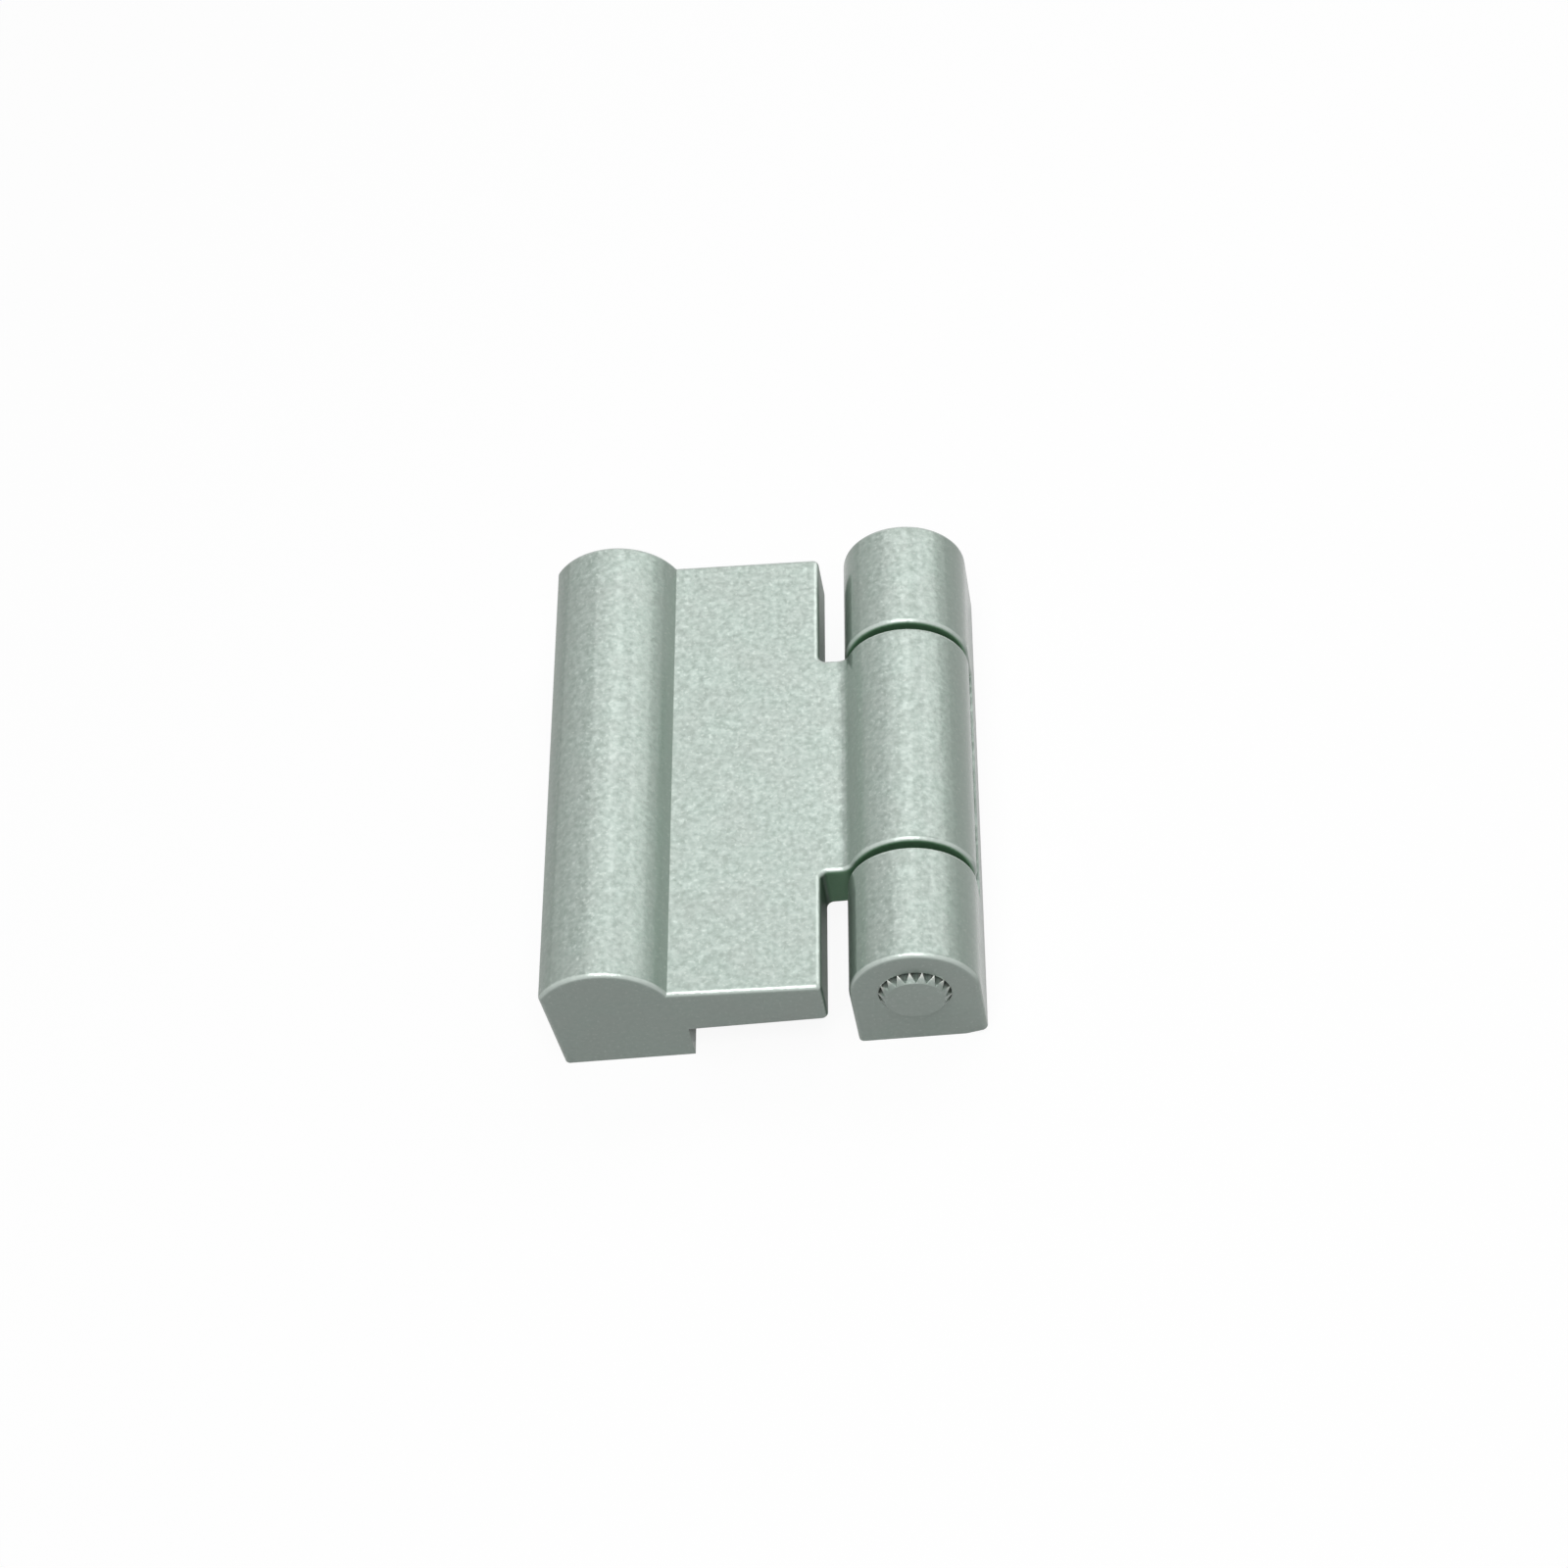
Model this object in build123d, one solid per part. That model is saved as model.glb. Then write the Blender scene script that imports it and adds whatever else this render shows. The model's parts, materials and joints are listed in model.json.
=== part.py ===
from build123d import *
import math
import os

# A surface-mounted cabinet hinge: a cast door leaf that turns on a steel pin between the end knuckles of a
# cast frame leaf. X runs across the hinge, with the door leaf on the -X side. Y runs along the pin, with its
# knurled head at -Y. Z is height above the surface that both leaves are screwed to. The pin's axis lies over
# X = 0. All sizes are in millimetres.

# Both leaves
hinge_length = 60.0
edge_radius = 0.6

# Pin axis and knuckles
axis_height = 8.7
knuckle_radius = 7.1
middle_knuckle_length = 29.6
knuckle_gap = 0.8

# Door leaf: bead and foot
door_leaf_reach = 39.8
foot_width = 14.6
bead_inset = 6.1
bead_centre_height = 8.7
bead_radius = 7.9
bead_wall_lean = 0.6
bead_wall_corner_radius = 1.0

# Door leaf: web, neck and notches
web_end_x = -9.85
web_top_at_bead = 11.8
web_top_at_end = 11.1
web_underside_at_foot = 5.0
web_underside_at_end = 5.2
web_corner_radius = 0.7
notch_corner_radius = 0.8
neck_root_radius = 1.4

# Frame leaf: end blocks and cradle
block_half_width = knuckle_radius
heel_relief_width = 2.4
heel_relief_height = 0.6
cradle_below_axis = 4.1
trough_clearance = 0.35

# Pin
pin_radius = 3.0
pin_press_clearance = 0.03
pin_running_clearance = 0.06
pin_tail_recess = 0.3
pin_tail_chamfer = 0.4
head_length_in_knuckle = 6.5
head_stands_out = 0.9
head_end_radius = 3.2
head_bore_radius = 3.95
knurl_bite = 0.05
knurl_depth = 0.75
knurl_teeth = 18
knurl_turn = 12.5

# Tapped M5 holes for the screws that come from behind
tapping_radius = 2.1
mouth_chamfer = 0.4
screw_spacing = 38.0
frame_thread_depth = 4.8
door_thread_depth = 10.0

# Places worked out from the sizes
end_y = hinge_length / 2
middle_end_y = middle_knuckle_length / 2
block_inner_y = middle_end_y + knuckle_gap
cradle_height = axis_height - cradle_below_axis
head_end_y = head_length_in_knuckle - end_y
head_tip_y = -end_y - head_stands_out
knurl_crest_radius = head_bore_radius + knurl_bite
foot_outer_x = -door_leaf_reach
foot_inner_x = foot_outer_x + foot_width
bead_centre_x = foot_outer_x + bead_inset
bead_wall_top_x = foot_outer_x - bead_wall_lean
door_screw_x = foot_outer_x + foot_width / 2
overrun = 1.0
tolerance = 0.01


def bead_height_at(x):
    """The height of the bead's round top over a place across the hinge."""
    return bead_centre_height + math.sqrt(bead_radius**2 - (x - bead_centre_x) ** 2)


def web_top_height(x):
    """The height of the web's sloping top, which runs on over the neck to the knuckle."""
    slope = (web_top_at_end - web_top_at_bead) / (web_end_x - foot_inner_x)
    return web_top_at_bead + slope * (x - foot_inner_x)


def web_underside_height(x):
    """The height of the web's sloping underside."""
    slope = (web_underside_at_end - web_underside_at_foot) / (web_end_x - foot_inner_x)
    return web_underside_at_foot + slope * (x - foot_inner_x)


def along_pin(section, low_y, high_y):
    """A section drawn in X and Z, extruded from one place along the pin to another."""
    return Pos(0, low_y, 0) * extrude(section, amount=high_y - low_y, dir=(0, 1, 0))


def round_bar(radius, low_y, high_y):
    """A round bar about the pin's axis between two places along it."""
    return along_pin(Plane.XZ * Pos(0, axis_height) * Circle(radius), low_y, high_y)


def tapped_hole(x, y, depth):
    """A blind tapped hole that opens on the mounting surface, with a chamfered mouth."""
    bore = Pos(x, y, depth / 2) * Cylinder(tapping_radius, depth)
    mouth_radius = tapping_radius + mouth_chamfer
    mouth = Pos(x, y, mouth_chamfer / 2) * Cone(mouth_radius, tapping_radius, mouth_chamfer)
    return bore + mouth


def tapped_pair(x, depth):
    """The two tapped holes of one leaf."""
    return [tapped_hole(x, side * screw_spacing / 2, depth) for side in (-1, 1)]


def edges_in_section(solid, y):
    """The edges of a solid that lie in one plane across the pin."""
    return solid.edges().filter_by(
        lambda edge: all(abs((edge @ place).Y - y) < tolerance for place in (0, 0.5, 1))
    )


def make_bead_and_foot():
    """The round-topped bead with the foot under it, as long as the hinge, with rounded ends."""
    wall_top = (bead_wall_top_x, bead_height_at(bead_wall_top_x))
    crown = (bead_centre_x, bead_centre_height + bead_radius)
    bead_side = (bead_centre_x + bead_radius, bead_centre_height)
    round_top = ThreePointArc(wall_top, crown, bead_side)
    block = Polyline(
        bead_side,
        (foot_inner_x, bead_centre_height),
        (foot_inner_x, 0),
        (foot_outer_x, 0),
        wall_top,
    )
    section = make_face(round_top + block)
    wall_corner = section.vertices().sort_by_distance((*wall_top, 0))[0]
    section = fillet(wall_corner, bead_wall_corner_radius)
    bead = along_pin(Plane.XZ * section, -end_y, end_y)
    for y in (-end_y, end_y):
        bead = fillet(edges_in_section(bead, y).filter_by(GeomType.CIRCLE), edge_radius)
    return bead


def web_section():
    """The web, its neck and the middle knuckle seen along the pin, with a round root between them."""
    web = make_face(
        Polyline(
            (bead_centre_x, web_top_height(bead_centre_x)),
            (0, web_top_height(0)),
            (0, web_underside_height(0)),
            (bead_centre_x, web_underside_height(bead_centre_x)),
            close=True,
        )
    )
    section = web + Pos(0, axis_height) * Circle(knuckle_radius)
    meets_knuckle = section.vertices().filter_by(lambda corner: corner.X > web_end_x)
    return Plane.XZ * fillet(meets_knuckle.sort_by(Axis.Y)[-1], neck_root_radius)


def web_plan():
    """The web seen from above, with the notches beside its neck where the end knuckles stand."""
    past_knuckle_x = 2 * knuckle_radius
    outline = make_face(
        Polyline(
            (bead_centre_x, -end_y),
            (web_end_x, -end_y),
            (web_end_x, -middle_end_y),
            (past_knuckle_x, -middle_end_y),
            (past_knuckle_x, middle_end_y),
            (web_end_x, middle_end_y),
            (web_end_x, end_y),
            (bead_centre_x, end_y),
            close=True,
        )
    )
    web_corners = [(web_end_x, -end_y, 0), (web_end_x, end_y, 0)]
    notch_corners = [(web_end_x, -middle_end_y, 0), (web_end_x, middle_end_y, 0)]
    for corners, radius in ((web_corners, web_corner_radius), (notch_corners, notch_corner_radius)):
        for corner in corners:
            outline = fillet(outline.vertices().sort_by_distance(corner)[0], radius)
    return outline


def make_web_and_knuckle():
    """The web with its neck and middle knuckle, rounded along the top of its whole outline."""
    full_length = along_pin(web_section(), -end_y, end_y)
    body = full_length & extrude(web_plan(), amount=axis_height + 2 * knuckle_radius)

    def on_the_rim(edge):
        middle = edge @ 0.5
        runs_along_pin = abs(middle.Y) < tolerance
        tops_the_web = middle.Z > web_top_height(middle.X) - tolerance
        across_pin = abs((edge @ 0).Y - (edge @ 1).Y) < tolerance
        rounds_the_knuckle = across_pin and edge.geom_type == GeomType.CIRCLE
        return not runs_along_pin and (tops_the_web or rounds_the_knuckle)

    return fillet(body.edges().filter_by(on_the_rim), edge_radius)


def make_door_leaf():
    """The casting that is screwed to the door: bead, foot, web, neck and middle knuckle."""
    leaf = make_bead_and_foot() + make_web_and_knuckle()
    leaf -= round_bar(pin_radius + pin_running_clearance, -middle_end_y - overrun, middle_end_y + overrun)
    for hole in tapped_pair(door_screw_x, door_thread_depth):
        leaf -= hole
    return leaf


def block_section():
    """The end block with its knuckle, seen along the pin, and the shallow relief under its outer heel."""
    block = make_face(
        Polyline(
            (-block_half_width, axis_height),
            (-block_half_width, 0),
            (block_half_width - heel_relief_width, 0),
            (block_half_width, heel_relief_height),
            (block_half_width, axis_height),
            close=True,
        )
    )
    return Plane.XZ * (block + Pos(0, axis_height) * Circle(knuckle_radius))


def make_frame_leaf():
    """The casting that is screwed to the frame: two end knuckles with a cradle between them."""
    leaf = along_pin(block_section(), -end_y, end_y)
    over_cradle_height = axis_height + 2 * knuckle_radius
    over_cradle = Pos(0, 0, cradle_height + over_cradle_height / 2) * Box(
        4 * knuckle_radius, 2 * block_inner_y, over_cradle_height
    )
    leaf -= over_cradle
    leaf -= round_bar(knuckle_radius + trough_clearance, -block_inner_y, block_inner_y)
    for y in (-end_y, -block_inner_y, block_inner_y, end_y):
        crown = edges_in_section(leaf, y).filter_by(GeomType.CIRCLE).sort_by(lambda edge: (edge @ 0.5).Z)[-1]
        leaf = fillet(crown, edge_radius)
    leaf -= round_bar(head_bore_radius, -end_y - overrun, head_end_y)
    leaf -= round_bar(pin_radius + pin_press_clearance, -end_y - overrun, end_y + overrun)
    for hole in tapped_pair(0, frame_thread_depth):
        leaf -= hole
    return leaf


def knurl_section():
    """The pin head's straight knurl: a ring of V-shaped teeth that bite into their bore."""
    root_radius = knurl_crest_radius - knurl_depth
    half_pitch = 180 / knurl_teeth
    points = []
    for tooth in range(knurl_teeth):
        crest_turn = knurl_turn + 2 * half_pitch * tooth
        for radius, turn in ((knurl_crest_radius, crest_turn), (root_radius, crest_turn + half_pitch)):
            points.append((radius * math.cos(math.radians(turn)), radius * math.sin(math.radians(turn))))
    return make_face(Polyline(*points, close=True))


def head_blank():
    """The pin's head before it is knurled: a round bar whose front end tapers to its flat tip."""
    half_section = make_face(
        Polyline(
            (0, head_tip_y),
            (head_end_radius, head_tip_y),
            (knurl_crest_radius, -end_y),
            (knurl_crest_radius, head_end_y),
            (0, head_end_y),
            close=True,
        )
    )
    return Pos(0, 0, axis_height) * revolve(half_section, Axis.Y)


def make_hinge_pin():
    """The steel pin: a plain shaft, and a knurled head whose tapered tip stands out of the front knuckle."""
    shaft = round_bar(pin_radius, -end_y, end_y - pin_tail_recess)
    tail_edge = shaft.edges().filter_by(GeomType.CIRCLE).sort_by(Axis.Y)[-1]
    shaft = chamfer(tail_edge, pin_tail_chamfer)
    knurl = along_pin(Plane.XZ * Pos(0, axis_height) * knurl_section(), head_tip_y, head_end_y)
    return shaft + (knurl & head_blank())


pieces = {
    "door_leaf": make_door_leaf(),
    "frame_leaf": make_frame_leaf(),
    "hinge_pin": make_hinge_pin(),
}

os.makedirs("parts", exist_ok=True)
for name, solid in pieces.items():
    export_step(solid, "parts/" + name + ".step")
    print(name, "volume", round(solid.volume, 1), "mm3")
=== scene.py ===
import json
import math

import bmesh
import bpy
from mathutils import Euler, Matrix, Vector


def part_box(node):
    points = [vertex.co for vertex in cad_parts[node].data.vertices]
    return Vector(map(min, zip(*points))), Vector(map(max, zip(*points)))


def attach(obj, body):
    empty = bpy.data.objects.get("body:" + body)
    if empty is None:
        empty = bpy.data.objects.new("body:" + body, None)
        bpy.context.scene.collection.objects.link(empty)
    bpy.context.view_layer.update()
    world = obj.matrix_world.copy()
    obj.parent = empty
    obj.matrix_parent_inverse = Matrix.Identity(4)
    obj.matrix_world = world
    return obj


# A cast cabinet hinge in a silver-green metallic coat, on a white table under large soft lamps.

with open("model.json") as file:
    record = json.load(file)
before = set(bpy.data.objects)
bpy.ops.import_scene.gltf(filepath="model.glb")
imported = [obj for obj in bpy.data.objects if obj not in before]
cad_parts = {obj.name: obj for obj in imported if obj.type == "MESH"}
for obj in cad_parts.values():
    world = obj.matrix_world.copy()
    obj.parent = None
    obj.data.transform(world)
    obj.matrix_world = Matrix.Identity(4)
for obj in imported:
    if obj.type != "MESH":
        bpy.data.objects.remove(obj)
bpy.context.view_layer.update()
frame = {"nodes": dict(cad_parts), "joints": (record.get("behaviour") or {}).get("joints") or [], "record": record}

MM = 0.001

mounts = {mount["name"]: mount for mount in frame["record"]["mounts"]}
front_face_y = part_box("frame_leaf")[0].y
pin_axis_height = frame["joints"][0]["pos_m"][2]

# Where the door leaf's web ends, beside the end knuckles
WEB_END_X = -9.85 * MM

# The camera, in the frame of the photograph
PICTURE_SIDE = 1600
FOCAL_LENGTH_IN_PIXELS = 3661.7
SENSOR_WIDTH = 36.0
CAMERA_PLACE = (0.03072, -0.24114, 0.33008)
CAMERA_TURN = (36.548, 7.945, 0.016)

# The threads, whose ridges sink a little into the walls of their bores
THREAD_PITCH = 0.8 * MM
THREAD_DEPTH = 0.3 * MM
THREAD_SINK = 0.04 * MM
THREAD_HALF_ROOT = 0.45 * THREAD_PITCH
THREAD_HALF_CREST = 0.06 * THREAD_PITCH
STEPS_PER_TURN = 28


# Shader helpers


def add_node(tree, kind, settings=None, inputs=None):
    """Adds a node, sets its properties, then sets or links its inputs by name or number."""
    node = tree.nodes.new(kind)
    for name, value in (settings or {}).items():
        setattr(node, name, value)
    for name, value in (inputs or {}).items():
        if isinstance(value, bpy.types.NodeSocket):
            tree.links.new(value, node.inputs[name])
        else:
            node.inputs[name].default_value = value
    return node


def math_node(tree, operation, first, second=0.0, third=0.0, clamp=False):
    """The result of one sum on two or three values."""
    settings = {"operation": operation, "use_clamp": clamp}
    return add_node(tree, "ShaderNodeMath", settings, {0: first, 1: second, 2: third}).outputs[0]


def multiply(tree, first, second):
    """The product of two values. Of two masks, it is the part where both show."""
    return math_node(tree, "MULTIPLY", first, second)


def vector_node(tree, operation, first, second=(0.0, 0.0, 0.0)):
    """The result of one sum on two vectors, or of a scale on a vector and a value."""
    inputs = {0: first, "Scale" if operation == "SCALE" else 1: second}
    node = add_node(tree, "ShaderNodeVectorMath", {"operation": operation}, inputs)
    return node.outputs["Value" if operation == "DOT_PRODUCT" else "Vector"]


def split(tree, vector):
    """The X, Y and Z of a vector."""
    return add_node(tree, "ShaderNodeSeparateXYZ", {}, {"Vector": vector}).outputs


def facing_axes(tree):
    """The X, Y and Z of the surface's own normal, in the piece's frame."""
    return split(tree, add_node(tree, "ShaderNodeTexCoord").outputs["Normal"])


def object_place(tree):
    """The point's place in the piece's frame."""
    return add_node(tree, "ShaderNodeTexCoord").outputs["Object"]


def distance_in_plane(tree, first, second):
    """How far a point is from an axis, from how far it lies off it in the two directions across."""
    squares = [multiply(tree, value, value) for value in (first, second)]
    return math_node(tree, "SQRT", math_node(tree, "ADD", *squares))


def span(tree, value, low, high, to_low=0.0, to_high=1.0):
    """A value carried from one span to another, and held at its ends."""
    inputs = {"Value": value, "From Min": low, "From Max": high, "To Min": to_low, "To Max": to_high}
    return add_node(tree, "ShaderNodeMapRange", {"clamp": True}, inputs).outputs["Result"]


def between(tree, share, start, end):
    """A value carried from one number to another by a share from 0 to 1."""
    return span(tree, share, 0.0, 1.0, start, end)


def noise(tree, place, scale, detail):
    """The outputs of a noise at a place, at a number of grains per metre."""
    inputs = {"Vector": place, "Scale": scale, "Detail": detail}
    return add_node(tree, "ShaderNodeTexNoise", {}, inputs).outputs


def blend_colours(tree, share, first, second):
    """One colour laid over another."""
    node = add_node(tree, "ShaderNodeMix", {"data_type": "RGBA"}, {"Factor": share})
    for socket, colour in ((node.inputs[6], first), (node.inputs[7], second)):
        if isinstance(colour, bpy.types.NodeSocket):
            tree.links.new(colour, socket)
        else:
            socket.default_value = (*colour, 1.0)
    return node.outputs[2]


def darker(colour, share):
    """A colour with only a share of its light."""
    return [share * value for value in colour]


def new_group(name, inputs, outputs):
    """An empty shader group with named sockets, and its input and output nodes."""
    tree = bpy.data.node_groups.new(name, "ShaderNodeTree")
    kinds = {"value": "NodeSocketFloat", "vector": "NodeSocketVector"}
    for socket_name, kind, value in inputs:
        socket = tree.interface.new_socket(socket_name, in_out="INPUT", socket_type=kinds[kind])
        socket.default_value = value
    for socket_name, kind in outputs:
        tree.interface.new_socket(socket_name, in_out="OUTPUT", socket_type=kinds[kind])
    return tree, tree.nodes.new("NodeGroupInput").outputs, tree.nodes.new("NodeGroupOutput").inputs


def use_group(tree, group, inputs):
    """Places a shared group in a material with its own values."""
    return add_node(tree, "ShaderNodeGroup", {"node_tree": group}, inputs).outputs


def new_material(name):
    """A material with its Principled shader."""
    material = bpy.data.materials.new(name)
    material.use_nodes = True
    tree = material.node_tree
    return material, tree, tree.nodes["Principled BSDF"]


# Shared effects

# How far a normal points along an axis, where a mask starts and where it is full
FLAKES_FACE_UP = (0.50, 0.95)
RIM_FACES_UP = (0.05, 0.30)
ROUND_END_STARTS = (0.08, 0.35)
ROUND_END_STOPS = (0.98, 0.80)
WEB_RIM_FACES_ACROSS = (0.10, 0.35)
WALL_FACES_STRAIGHT = (0.70, 0.95)
SLOPE_FACES_ACROSS = (0.35, 0.90)

# How alike the bevelled normal and the true one are, where an edge starts and where it is full
EDGE_STARTS_AND_FILLS = (0.98, 0.75)

# Distances from the web's end and from the middle of the pin, for the masks of the rims and the inner walls
WEB_RIM_STARTS_AND_FILLS = (0.75 * MM, 0.40 * MM)
WEB_EDGE_WIDTH = 0.3 * MM
BESIDE_WEB_MARGIN = 0.1 * MM
INNER_WALLS_END_Y = 16.5 * MM

# Parts of a bore's radius and of its depth, where its mask starts and where it is full
BORE_WALL = (1.02, 0.98)
BORE_FLOOR = (1.01, 1.00)

# A noise varies about its middle value, and these are the spans of it that the masks take up
NOISE_MIDDLE = 0.5
GRAIN_SPAN = (0.30, 0.70)
CLOUD_SPAN = (0.35, 0.65)
GLINT_SPAN = (0.60, 0.74)
FLAKE_TILT = 0.52


def make_flake_group():
    """Metal flakes in a coat: a grain, clouds of tint and a tilted normal, fainter on walls and beneath."""
    group, given, made = new_group(
        "metal_flakes",
        [
            ("Place", "vector", (0.0, 0.0, 0.0)),
            ("Normal", "vector", (0.0, 0.0, 1.0)),
            ("Grain per metre", "value", 1500.0),
            ("Flakes per metre", "value", 2500.0),
            ("Clouds per metre", "value", 240.0),
            ("Tilt", "value", FLAKE_TILT),
            ("Left on walls", "value", 0.25),
        ],
        [("Grain", "value"), ("Glint", "value"), ("Cloud", "value"), ("Normal", "vector")],
    )
    grain = noise(group, given["Place"], given["Grain per metre"], detail=1.5)["Fac"]
    flakes = noise(group, given["Place"], given["Flakes per metre"], detail=1.0)
    cloud = noise(group, given["Place"], given["Clouds per metre"], detail=2.0)["Fac"]
    rough = span(group, facing_axes(group)["Z"], *FLAKES_FACE_UP, given["Left on walls"], 1.0)
    tilt = vector_node(group, "SUBTRACT", flakes["Color"], (NOISE_MIDDLE,) * 3)
    tilt = vector_node(group, "SCALE", tilt, multiply(group, given["Tilt"], rough))
    tilted = vector_node(group, "ADD", given["Normal"], tilt)
    even = math_node(group, "SUBTRACT", span(group, grain, *GRAIN_SPAN), NOISE_MIDDLE)
    even = math_node(group, "MULTIPLY_ADD", even, rough, NOISE_MIDDLE)
    links = group.links
    links.new(even, made["Grain"])
    links.new(span(group, flakes["Fac"], *GLINT_SPAN), made["Glint"])
    links.new(span(group, cloud, *CLOUD_SPAN), made["Cloud"])
    links.new(vector_node(group, "NORMALIZE", tilted), made["Normal"])
    return group


def make_edge_group():
    """A casting's sharp edges and the rounded rims at its ends, as masks, and a softly rounded normal."""
    group, given, made = new_group(
        "cast_edges",
        [
            ("Radius", "value", 0.25 * MM),
            ("Place", "vector", (0.0, 0.0, 0.0)),
            ("Web end X", "value", WEB_END_X),
        ],
        [("Edge", "value"), ("Rim", "value"), ("Normal", "vector")],
    )
    bevel = add_node(group, "ShaderNodeBevel", {"samples": 6}, {"Radius": given["Radius"]})
    geometry = add_node(group, "ShaderNodeNewGeometry")
    same = vector_node(group, "DOT_PRODUCT", bevel.outputs["Normal"], geometry.outputs["Normal"])
    facing = facing_axes(group)
    along_pin = math_node(group, "ABSOLUTE", facing["Y"])
    round_end = multiply(
        group, span(group, along_pin, *ROUND_END_STARTS), span(group, along_pin, *ROUND_END_STOPS)
    )
    past_web = math_node(group, "SUBTRACT", split(group, given["Place"])["X"], given["Web end X"])
    near_web_end = span(group, math_node(group, "ABSOLUTE", past_web), *WEB_RIM_STARTS_AND_FILLS)
    web_end = multiply(group, near_web_end, span(group, facing["X"], *WEB_RIM_FACES_ACROSS))
    rim = math_node(group, "MAXIMUM", round_end, web_end)
    links = group.links
    links.new(span(group, same, *EDGE_STARTS_AND_FILLS), made["Edge"])
    links.new(multiply(group, rim, span(group, facing["Z"], *RIM_FACES_UP)), made["Rim"])
    links.new(bevel.outputs["Normal"], made["Normal"])
    return group


def make_inner_wall_group():
    """The walls on both sides of the knuckle gaps and of the notches, and the web's free edge, as masks."""
    group, given, made = new_group(
        "inner_walls",
        [
            ("Place", "vector", (0.0, 0.0, 0.0)),
            ("Web end X", "value", WEB_END_X),
            ("Half length", "value", INNER_WALLS_END_Y),
        ],
        [("Gap", "value"), ("Web end", "value")],
    )
    place = split(group, given["Place"])
    facing = facing_axes(group)
    faces_along = span(group, math_node(group, "ABSOLUTE", facing["Y"]), *WALL_FACES_STRAIGHT)
    from_middle = math_node(group, "ABSOLUTE", place["Y"])
    near_middle = math_node(group, "LESS_THAN", from_middle, given["Half length"])
    past_web = math_node(group, "SUBTRACT", place["X"], given["Web end X"])
    beside_web = math_node(group, "GREATER_THAN", past_web, -BESIDE_WEB_MARGIN)
    gap = multiply(group, multiply(group, near_middle, beside_web), faces_along)
    on_edge = math_node(group, "LESS_THAN", math_node(group, "ABSOLUTE", past_web), WEB_EDGE_WIDTH)
    web_end = multiply(group, on_edge, span(group, facing["X"], *WALL_FACES_STRAIGHT))
    group.links.new(gap, made["Gap"])
    group.links.new(web_end, made["Web end"])
    return group


def make_bore_group():
    """How near a point is to the nearer of two upright bores: 1 inside them and 0 outside."""
    group, given, made = new_group(
        "near_bores",
        [
            ("Place", "vector", (0.0, 0.0, 0.0)),
            ("Centre X", "value", 0.0),
            ("Half spacing", "value", 19.0 * MM),
            ("Radius", "value", 2.6 * MM),
            ("Depth", "value", 10.0 * MM),
        ],
        [("Inside", "value")],
    )
    place = split(group, given["Place"])
    across = math_node(group, "SUBTRACT", place["X"], given["Centre X"])
    along = math_node(group, "SUBTRACT", math_node(group, "ABSOLUTE", place["Y"]), given["Half spacing"])
    ratio = math_node(group, "DIVIDE", distance_in_plane(group, across, along), given["Radius"])
    deep = math_node(group, "DIVIDE", place["Z"], given["Depth"])
    inside = multiply(group, span(group, ratio, *BORE_WALL), span(group, deep, *BORE_FLOOR))
    group.links.new(inside, made["Inside"])
    return group


flake_group = make_flake_group()
edge_group = make_edge_group()
inner_wall_group = make_inner_wall_group()
bore_group = make_bore_group()


# Finishes

COAT_DARK = (0.277, 0.347, 0.304)
COAT_LIGHT = (0.382, 0.455, 0.414)
COAT_WARM = (0.350, 0.380, 0.352)
COAT_GLINT = (0.56, 0.62, 0.58)
# Painted highlight, lighter, laid along the sharp edges
COAT_EDGE_HIGHLIGHT = (0.46, 0.52, 0.48)
# Painted highlight, laid on the rounded rims that face up
COAT_RIM_HIGHLIGHT = (0.58, 0.66, 0.61)
# Painted shade, darker and greener, laid on the sideways flanks and on the walls in the knuckle gaps and notches
COAT_PAINTED_SHADE = (0.155, 0.295, 0.18)
# Deeper painted shade, laid on the web's free end in the notches
COAT_DEEP_PAINTED_SHADE = (0.09, 0.165, 0.11)
COAT_SPECULAR = 0.25
COAT_GLOSS_IOR = 1.5
COAT_GLOSS_ROUGHNESS = 0.12
GLOSS_IN_GAPS = 0.25
ZINC = (0.56, 0.57, 0.56)
STEEL = (0.64, 0.66, 0.62)

# From the darkest of the grain to the lightest
COAT_METALLIC = (0.42, 0.58)
COAT_ROUGHNESS = (0.41, 0.36)
CUT_ZINC_ROUGHNESS = (0.28, 0.42)

# From the pin's bare steel to its coated tip
PIN_METALLIC = (1.0, 0.50)
PIN_ROUGHNESS = (0.28, 0.40)

# How much of each tint, painted shade and painted highlight is laid over the coat's own colour
WARM_CLOUDS = 0.25
GLINTING_FLAKES = 0.3
PAINTED_SHADE_ON_FLANKS = 0.18
PAINTED_HIGHLIGHT_ON_EDGES = 0.35
PAINTED_SHADE_ON_WEB_END = 0.75

CAST_EDGE_RADIUS = 0.22 * MM
PIN_EDGE_RADIUS = 0.1 * MM

# The lathe's lines run round the pin, so their noise has many grains per metre along Y and few across it
TURNING_LINES = (300.0, 9000.0, 300.0)
STEEL_LEFT_IN_LINES = 0.85
CUT_GRAIN_PER_METRE = 6000.0
ZINC_LEFT_IN_GRAIN = 0.8

# The pin's coat ends a little way in from the front knuckle's face, and is worn off the knurl's crests
PIN_COAT_ENDS = (1.0 * MM, 0.6 * MM)
KNURL_WORN = (3.5 * MM, 3.8 * MM)
COAT_LEFT_ON_CRESTS = 0.15


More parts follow.
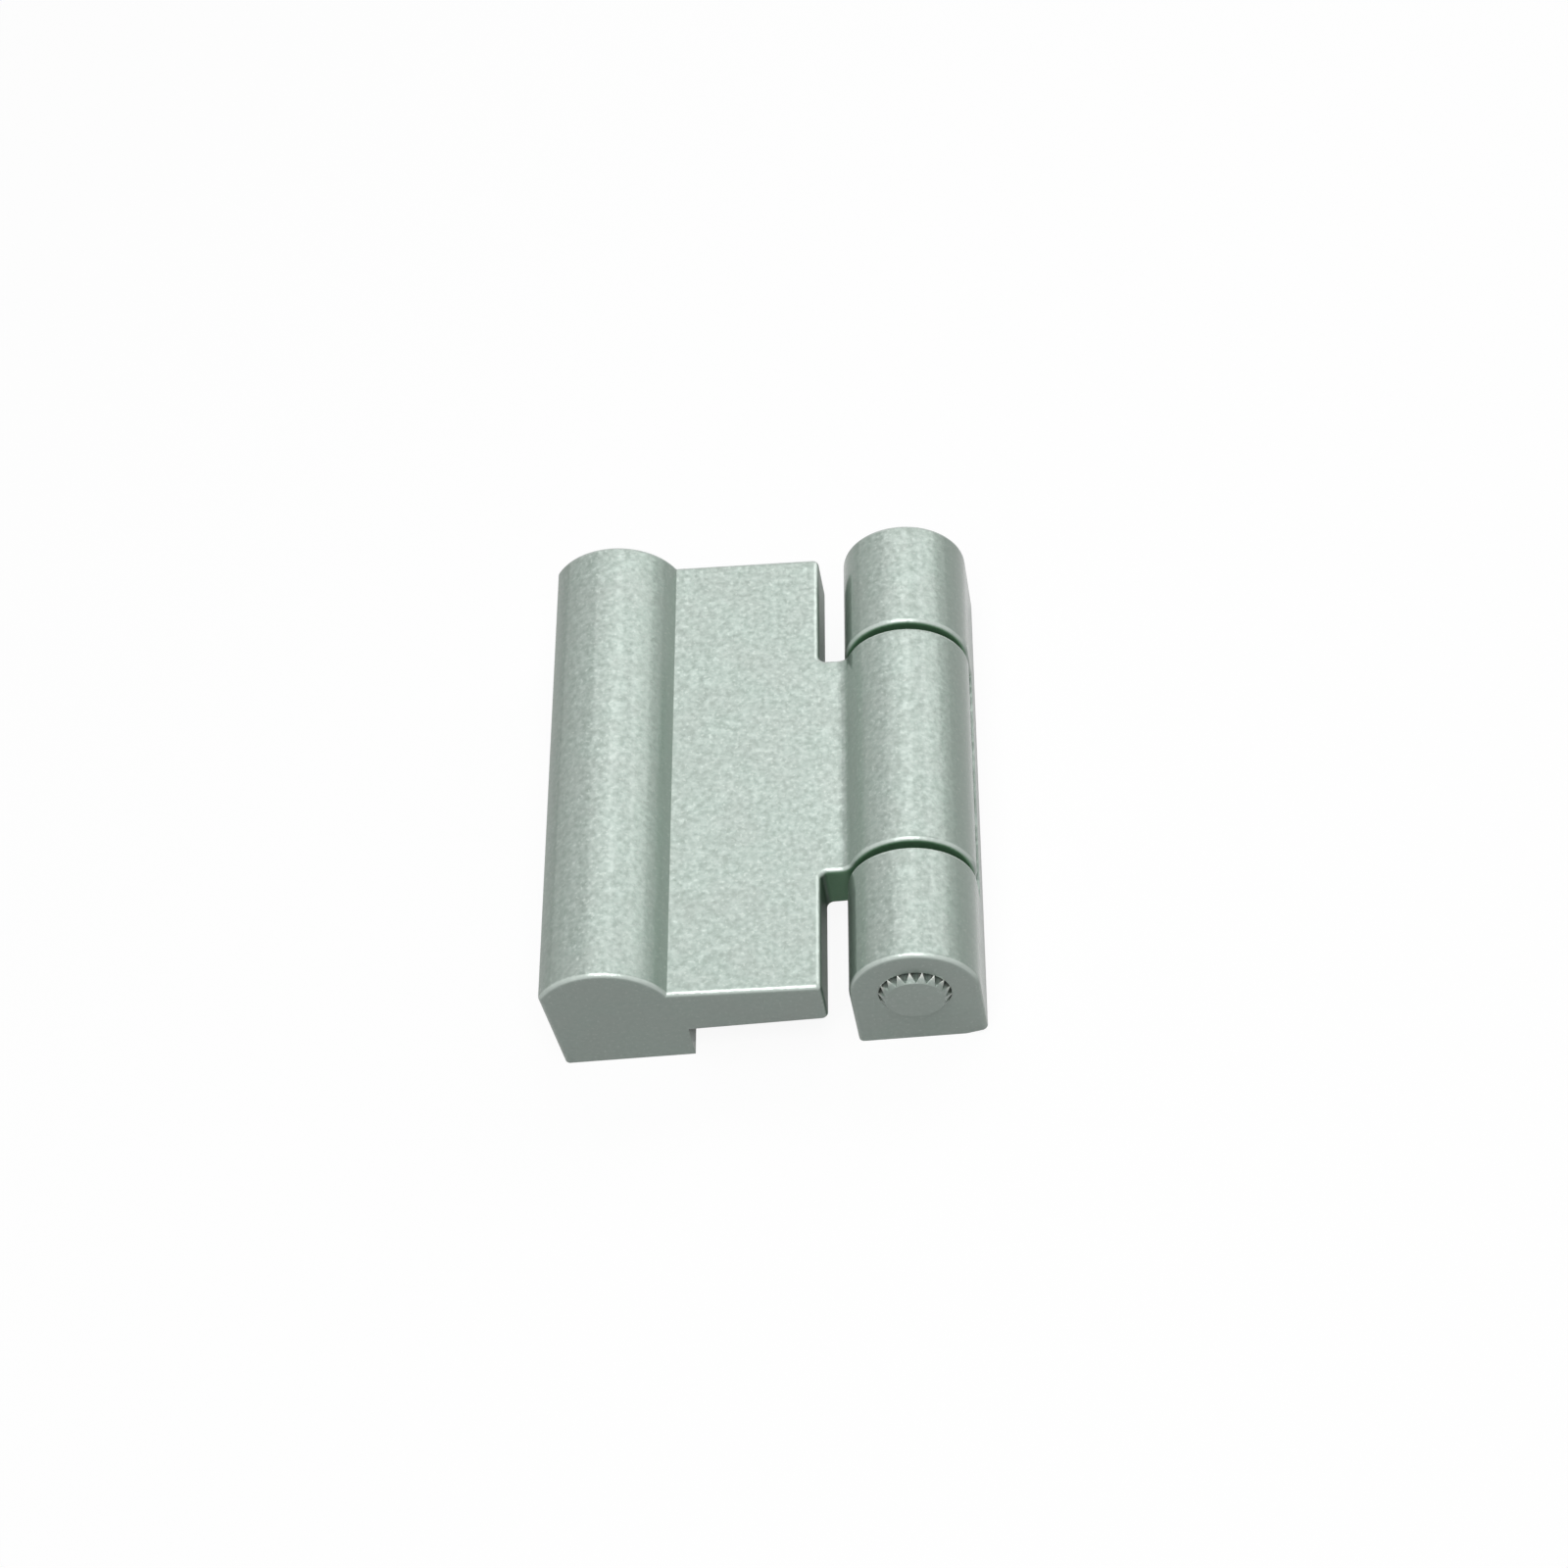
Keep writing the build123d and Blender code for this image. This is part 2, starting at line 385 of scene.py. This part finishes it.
def coat_colours(tree, place, normal, tilt=FLAKE_TILT):
    """The metallic coat's colour at a point, and the masks and the tilted normal of its flakes."""
    flakes = use_group(tree, flake_group, {"Place": place, "Normal": normal, "Tilt": tilt})
    colour = blend_colours(tree, flakes["Grain"], COAT_DARK, COAT_LIGHT)
    colour = blend_colours(tree, multiply(tree, flakes["Cloud"], WARM_CLOUDS), colour, COAT_WARM)
    glint = multiply(tree, flakes["Glint"], GLINTING_FLAKES)
    return blend_colours(tree, glint, colour, COAT_GLINT), flakes


def set_gloss(shader):
    """The clear gloss over the coat, of one kind everywhere."""
    shader.inputs["Coat Roughness"].default_value = COAT_GLOSS_ROUGHNESS
    shader.inputs["Coat IOR"].default_value = COAT_GLOSS_IOR


def make_coat(name, bores):
    """The silver-green coat of a casting, with bare zinc in its tapped bores, painted shade and painted
    highlights.
    """
    material, tree, shader = new_material(name)
    place = object_place(tree)
    edges = use_group(tree, edge_group, {"Radius": CAST_EDGE_RADIUS, "Place": place})
    colour, flakes = coat_colours(tree, place, edges["Normal"])
    across = math_node(tree, "ABSOLUTE", facing_axes(tree)["X"])
    # Painted shade: the flanks that face sideways are darker and greener
    painted_flank_shade = span(tree, across, *SLOPE_FACES_ACROSS, 0.0, PAINTED_SHADE_ON_FLANKS)
    colour = blend_colours(tree, painted_flank_shade, colour, COAT_PAINTED_SHADE)
    # Painted highlight: the sharp edges are lighter
    colour = blend_colours(tree, multiply(tree, edges["Edge"], PAINTED_HIGHLIGHT_ON_EDGES), colour, COAT_EDGE_HIGHLIGHT)
    # Painted highlight on the rounded rims that face up
    colour = blend_colours(tree, edges["Rim"], colour, COAT_RIM_HIGHLIGHT)
    walls = use_group(tree, inner_wall_group, {"Place": place})
    # Painted shade on the walls in the knuckle gaps and the notches
    colour = blend_colours(tree, walls["Gap"], colour, COAT_PAINTED_SHADE)
    # Deeper painted shade on the web's free end
    colour = blend_colours(tree, multiply(tree, walls["Web end"], PAINTED_SHADE_ON_WEB_END), colour, COAT_DEEP_PAINTED_SHADE)
    inside = use_group(tree, bore_group, {"Place": place, **bores})["Inside"]
    colour = blend_colours(tree, inside, colour, ZINC)
    metallic = between(tree, flakes["Grain"], *COAT_METALLIC)
    shaded = math_node(tree, "MAXIMUM", walls["Gap"], walls["Web end"])
    gloss = between(tree, shaded, 1.0, GLOSS_IN_GAPS)
    links = tree.links
    links.new(colour, shader.inputs["Base Color"])
    links.new(between(tree, flakes["Grain"], *COAT_ROUGHNESS), shader.inputs["Roughness"])
    links.new(math_node(tree, "MAXIMUM", metallic, inside), shader.inputs["Metallic"])
    links.new(math_node(tree, "SUBTRACT", gloss, inside, clamp=True), shader.inputs["Coat Weight"])
    links.new(flakes["Normal"], shader.inputs["Normal"])
    shader.inputs["Specular IOR Level"].default_value = COAT_SPECULAR
    set_gloss(shader)
    return material


def make_pin_finish():
    """Bare turned steel on the shaft, and the castings' coat on the tip, worn off the knurl's crests."""
    material, tree, shader = new_material("pin")
    place = object_place(tree)
    axes = split(tree, place)
    above_axis = math_node(tree, "SUBTRACT", axes["Z"], pin_axis_height)
    from_axis = distance_in_plane(tree, axes["X"], above_axis)
    worn = span(tree, from_axis, *KNURL_WORN, 1.0, COAT_LEFT_ON_CRESTS)
    coated = span(tree, axes["Y"], *[front_face_y + depth for depth in PIN_COAT_ENDS])
    coated = multiply(tree, coated, worn)
    edges = use_group(tree, edge_group, {"Radius": PIN_EDGE_RADIUS, "Place": place})
    tilt = multiply(tree, coated, FLAKE_TILT)
    colour, flakes = coat_colours(tree, place, edges["Normal"], tilt)
    stretched = vector_node(tree, "MULTIPLY", place, TURNING_LINES)
    lines = span(tree, noise(tree, stretched, 1.0, detail=3.0)["Fac"], *GRAIN_SPAN)
    steel = blend_colours(tree, lines, darker(STEEL, STEEL_LEFT_IN_LINES), STEEL)
    links = tree.links
    links.new(blend_colours(tree, coated, steel, colour), shader.inputs["Base Color"])
    links.new(between(tree, coated, *PIN_ROUGHNESS), shader.inputs["Roughness"])
    links.new(between(tree, coated, *PIN_METALLIC), shader.inputs["Metallic"])
    links.new(coated, shader.inputs["Coat Weight"])
    links.new(flakes["Normal"], shader.inputs["Normal"])
    set_gloss(shader)
    return material


def make_thread_finish():
    """Bare cut zinc with a fine grain."""
    material, tree, shader = new_material("cut_zinc")
    grain = noise(tree, object_place(tree), CUT_GRAIN_PER_METRE, detail=3.0)["Fac"]
    colour = blend_colours(tree, grain, darker(ZINC, ZINC_LEFT_IN_GRAIN), ZINC)
    roughness = span(tree, grain, *GRAIN_SPAN, *CUT_ZINC_ROUGHNESS)
    tree.links.new(colour, shader.inputs["Base Color"])
    tree.links.new(roughness, shader.inputs["Roughness"])
    shader.inputs["Metallic"].default_value = 1.0
    return material


# Pieces

BORE_MASK_RADIUS = 2.55 * MM
BORE_MASK_MARGIN = 0.1 * MM

# Each leaf, which is a piece and a body, with the mounts of its tapped holes
LEAF_THREADS = {
    "door_leaf": ("door_thread_front", "door_thread_back"),
    "frame_leaf": ("frame_thread_front", "frame_thread_back"),
}


def dress(node_name, material):
    """Gives a CAD piece its one material."""
    materials = frame["nodes"][node_name].data.materials
    materials.clear()
    materials.append(material)


def finish_piece(shape, name, body, material):
    """Turns a bmesh into a piece of the hinge that rides on a body."""
    bmesh.ops.recalc_face_normals(shape, faces=shape.faces)
    mesh = bpy.data.meshes.new(name)
    shape.to_mesh(mesh)
    shape.free()
    mesh.materials.append(material)
    piece = bpy.data.objects.new(name, mesh)
    bpy.context.scene.collection.objects.link(piece)
    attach(piece, body)


def make_thread(mount_name, body, material):
    """The thread of one tapped hole: a V-shaped ridge wound up the wall of its bore."""
    mount = mounts[mount_name]
    radius = mount["dims"]["r_mm"] * MM
    turns = math.floor(mount["dims"]["length_mm"] * MM / THREAD_PITCH)
    middle = Vector(mount["pos_m"])
    root_x = middle.x + radius + THREAD_SINK
    crest_x = middle.x + radius - THREAD_DEPTH
    foot = middle.z - turns * THREAD_PITCH / 2
    shape = bmesh.new()
    ridge = (
        (root_x, -THREAD_HALF_ROOT),
        (crest_x, -THREAD_HALF_CREST),
        (crest_x, THREAD_HALF_CREST),
        (root_x, THREAD_HALF_ROOT),
    )
    profile = shape.faces.new([shape.verts.new((x, middle.y, foot + above)) for x, above in ridge])
    bmesh.ops.spin(
        shape,
        geom=[profile],
        cent=middle,
        axis=(0.0, 0.0, 1.0),
        dvec=(0.0, 0.0, THREAD_PITCH / STEPS_PER_TURN),
        angle=2 * math.pi * turns,
        steps=turns * STEPS_PER_TURN,
        use_merge=False,
    )
    finish_piece(shape, mount_name, body, material)


def bores_of(front_name):
    """The shader values for the two tapped bores of a leaf."""
    mount = mounts[front_name]
    return {
        "Centre X": mount["pos_m"][0],
        "Half spacing": abs(mount["pos_m"][1]),
        "Radius": BORE_MASK_RADIUS,
        "Depth": mount["pos_m"][2] + mount["dims"]["length_mm"] * MM / 2 + BORE_MASK_MARGIN,
    }


thread_finish = make_thread_finish()
for leaf, threads in LEAF_THREADS.items():
    dress(leaf, make_coat(leaf + "_coat", bores_of(threads[0])))
dress("hinge_pin", make_pin_finish())
for leaf, threads in LEAF_THREADS.items():
    for thread in threads:
        make_thread(thread, leaf, thread_finish)


# Table, light and camera

TABLE_SIDE = 3.0
TABLE_GLOW_SEEN = 0.92
TABLE_COLOUR_SEEN = 0.10
TABLE_GLOW_MIRRORED = 0.10
TABLE_COLOUR_MIRRORED = 0.85
TABLE_COLOUR_BOUNCED = 0.28
ROOM_LIGHT = 0.06
LAMP_AIM = (-0.016, 0.0, 0.008)

# The lamps over the hinge: a name, a place, a width and a depth in metres, and a power in watts
UPPER_LAMPS = (
    ("overhead", (-0.01, -0.01, 0.50), 0.30, 0.30, 0.42),
    ("front", (0.0, -0.22, 0.44), 0.30, 0.20, 0.95),
)

# Four back lamps stand in an arc about the pin, as a turn from upright in degrees and a power in watts
BACK_LAMPS = ((-48, 0.04), (-10, 0.235), (20, 0.23), (50, 0.25))
BACK_LAMP_DISTANCE = 0.5
BACK_LAMP_LEAN = 36.5
BACK_LAMP_WIDTH = 0.30
BACK_LAMP_DEPTH = 0.20


def light_path(tree):
    """1 for rays that come straight from the camera, and 1 for rays of a reflection or through glass."""
    path = add_node(tree, "ShaderNodeLightPath").outputs
    mirrored = math_node(tree, "MAXIMUM", path["Is Glossy Ray"], path["Is Transmission Ray"])
    return path["Is Camera Ray"], mirrored


def make_table():
    """A white table top, which shows its shadow, and shows nothing from below."""
    shape = bmesh.new()
    bmesh.ops.create_grid(shape, x_segments=1, y_segments=1, size=TABLE_SIDE / 2)
    mesh = bpy.data.meshes.new("table")
    shape.to_mesh(mesh)
    shape.free()
    table = bpy.data.objects.new("table", mesh)
    bpy.context.scene.collection.objects.link(table)
    material = bpy.data.materials.new("white_table")
    material.use_nodes = True
    tree = material.node_tree
    tree.nodes.clear()
    seen, mirrored = light_path(tree)
    unseen = math_node(tree, "SUBTRACT", 1.0, seen)
    glow_seen = multiply(tree, seen, TABLE_GLOW_SEEN)
    glow = math_node(tree, "MULTIPLY_ADD", mirrored, TABLE_GLOW_MIRRORED, glow_seen)
    shade = between(tree, mirrored, TABLE_COLOUR_BOUNCED, TABLE_COLOUR_MIRRORED)
    shade_seen = multiply(tree, seen, TABLE_COLOUR_SEEN)
    shade = math_node(tree, "MULTIPLY_ADD", shade, unseen, shade_seen)
    colour = add_node(tree, "ShaderNodeCombineColor", {}, {"Red": shade, "Green": shade, "Blue": shade})
    matt = add_node(tree, "ShaderNodeBsdfDiffuse", {}, {"Color": colour.outputs["Color"]})
    light = add_node(tree, "ShaderNodeEmission", {}, {"Strength": glow})
    top = add_node(tree, "ShaderNodeAddShader", {}, {0: matt.outputs[0], 1: light.outputs[0]})
    clear = add_node(tree, "ShaderNodeBsdfTransparent")
    below = add_node(tree, "ShaderNodeNewGeometry").outputs["Backfacing"]
    both = add_node(tree, "ShaderNodeMixShader", {}, {0: below, 1: top.outputs[0], 2: clear.outputs[0]})
    add_node(tree, "ShaderNodeOutputMaterial", {}, {"Surface": both.outputs[0]})
    mesh.materials.append(material)


def make_room():
    """A white room that adds only a little light of its own."""
    world = bpy.data.worlds.new("room")
    bpy.context.scene.world = world
    world.use_nodes = True
    tree = world.node_tree
    shown = math_node(tree, "MAXIMUM", *light_path(tree))
    strength = between(tree, shown, ROOM_LIGHT, 1.0)
    tree.links.new(strength, tree.nodes["Background"].inputs["Strength"])
    tree.nodes["Background"].inputs["Color"].default_value = (1.0, 1.0, 1.0, 1.0)


def make_lamp(name, place, width, depth, power):
    """A soft oblong lamp that looks at the hinge."""
    light = bpy.data.lights.new(name, "AREA")
    light.shape = "RECTANGLE"
    light.size = width
    light.size_y = depth
    light.energy = power
    lamp = bpy.data.objects.new(name, light)
    lamp.location = place
    lamp.rotation_euler = (Vector(LAMP_AIM) - Vector(place)).to_track_quat("-Z", "Y").to_euler()
    bpy.context.scene.collection.objects.link(lamp)


def back_lamp_place(turn):
    """Where a back lamp stands: leaned back from the hinge, and turned about the pin from upright."""
    back = BACK_LAMP_DISTANCE * math.sin(math.radians(BACK_LAMP_LEAN))
    above = BACK_LAMP_DISTANCE * math.cos(math.radians(BACK_LAMP_LEAN))
    turn = math.radians(turn)
    return (above * math.sin(turn), back, above * math.cos(turn))


def make_camera():
    """The camera at the photograph's viewing angle."""
    lens = bpy.data.cameras.new("camera")
    lens.sensor_width = SENSOR_WIDTH
    lens.lens = FOCAL_LENGTH_IN_PIXELS / PICTURE_SIDE * SENSOR_WIDTH
    lens.clip_start = 0.01
    lens.clip_end = 20.0
    camera = bpy.data.objects.new("camera", lens)
    camera.location = CAMERA_PLACE
    camera.rotation_euler = Euler([math.radians(angle) for angle in CAMERA_TURN])
    bpy.context.scene.collection.objects.link(camera)
    bpy.context.scene.camera = camera


make_table()
make_room()
for lamp in UPPER_LAMPS:
    make_lamp(*lamp)
for turn, power in BACK_LAMPS:
    make_lamp("back", back_lamp_place(turn), BACK_LAMP_WIDTH, BACK_LAMP_DEPTH, power)
make_camera()
bpy.context.scene.view_settings.view_transform = "Standard"
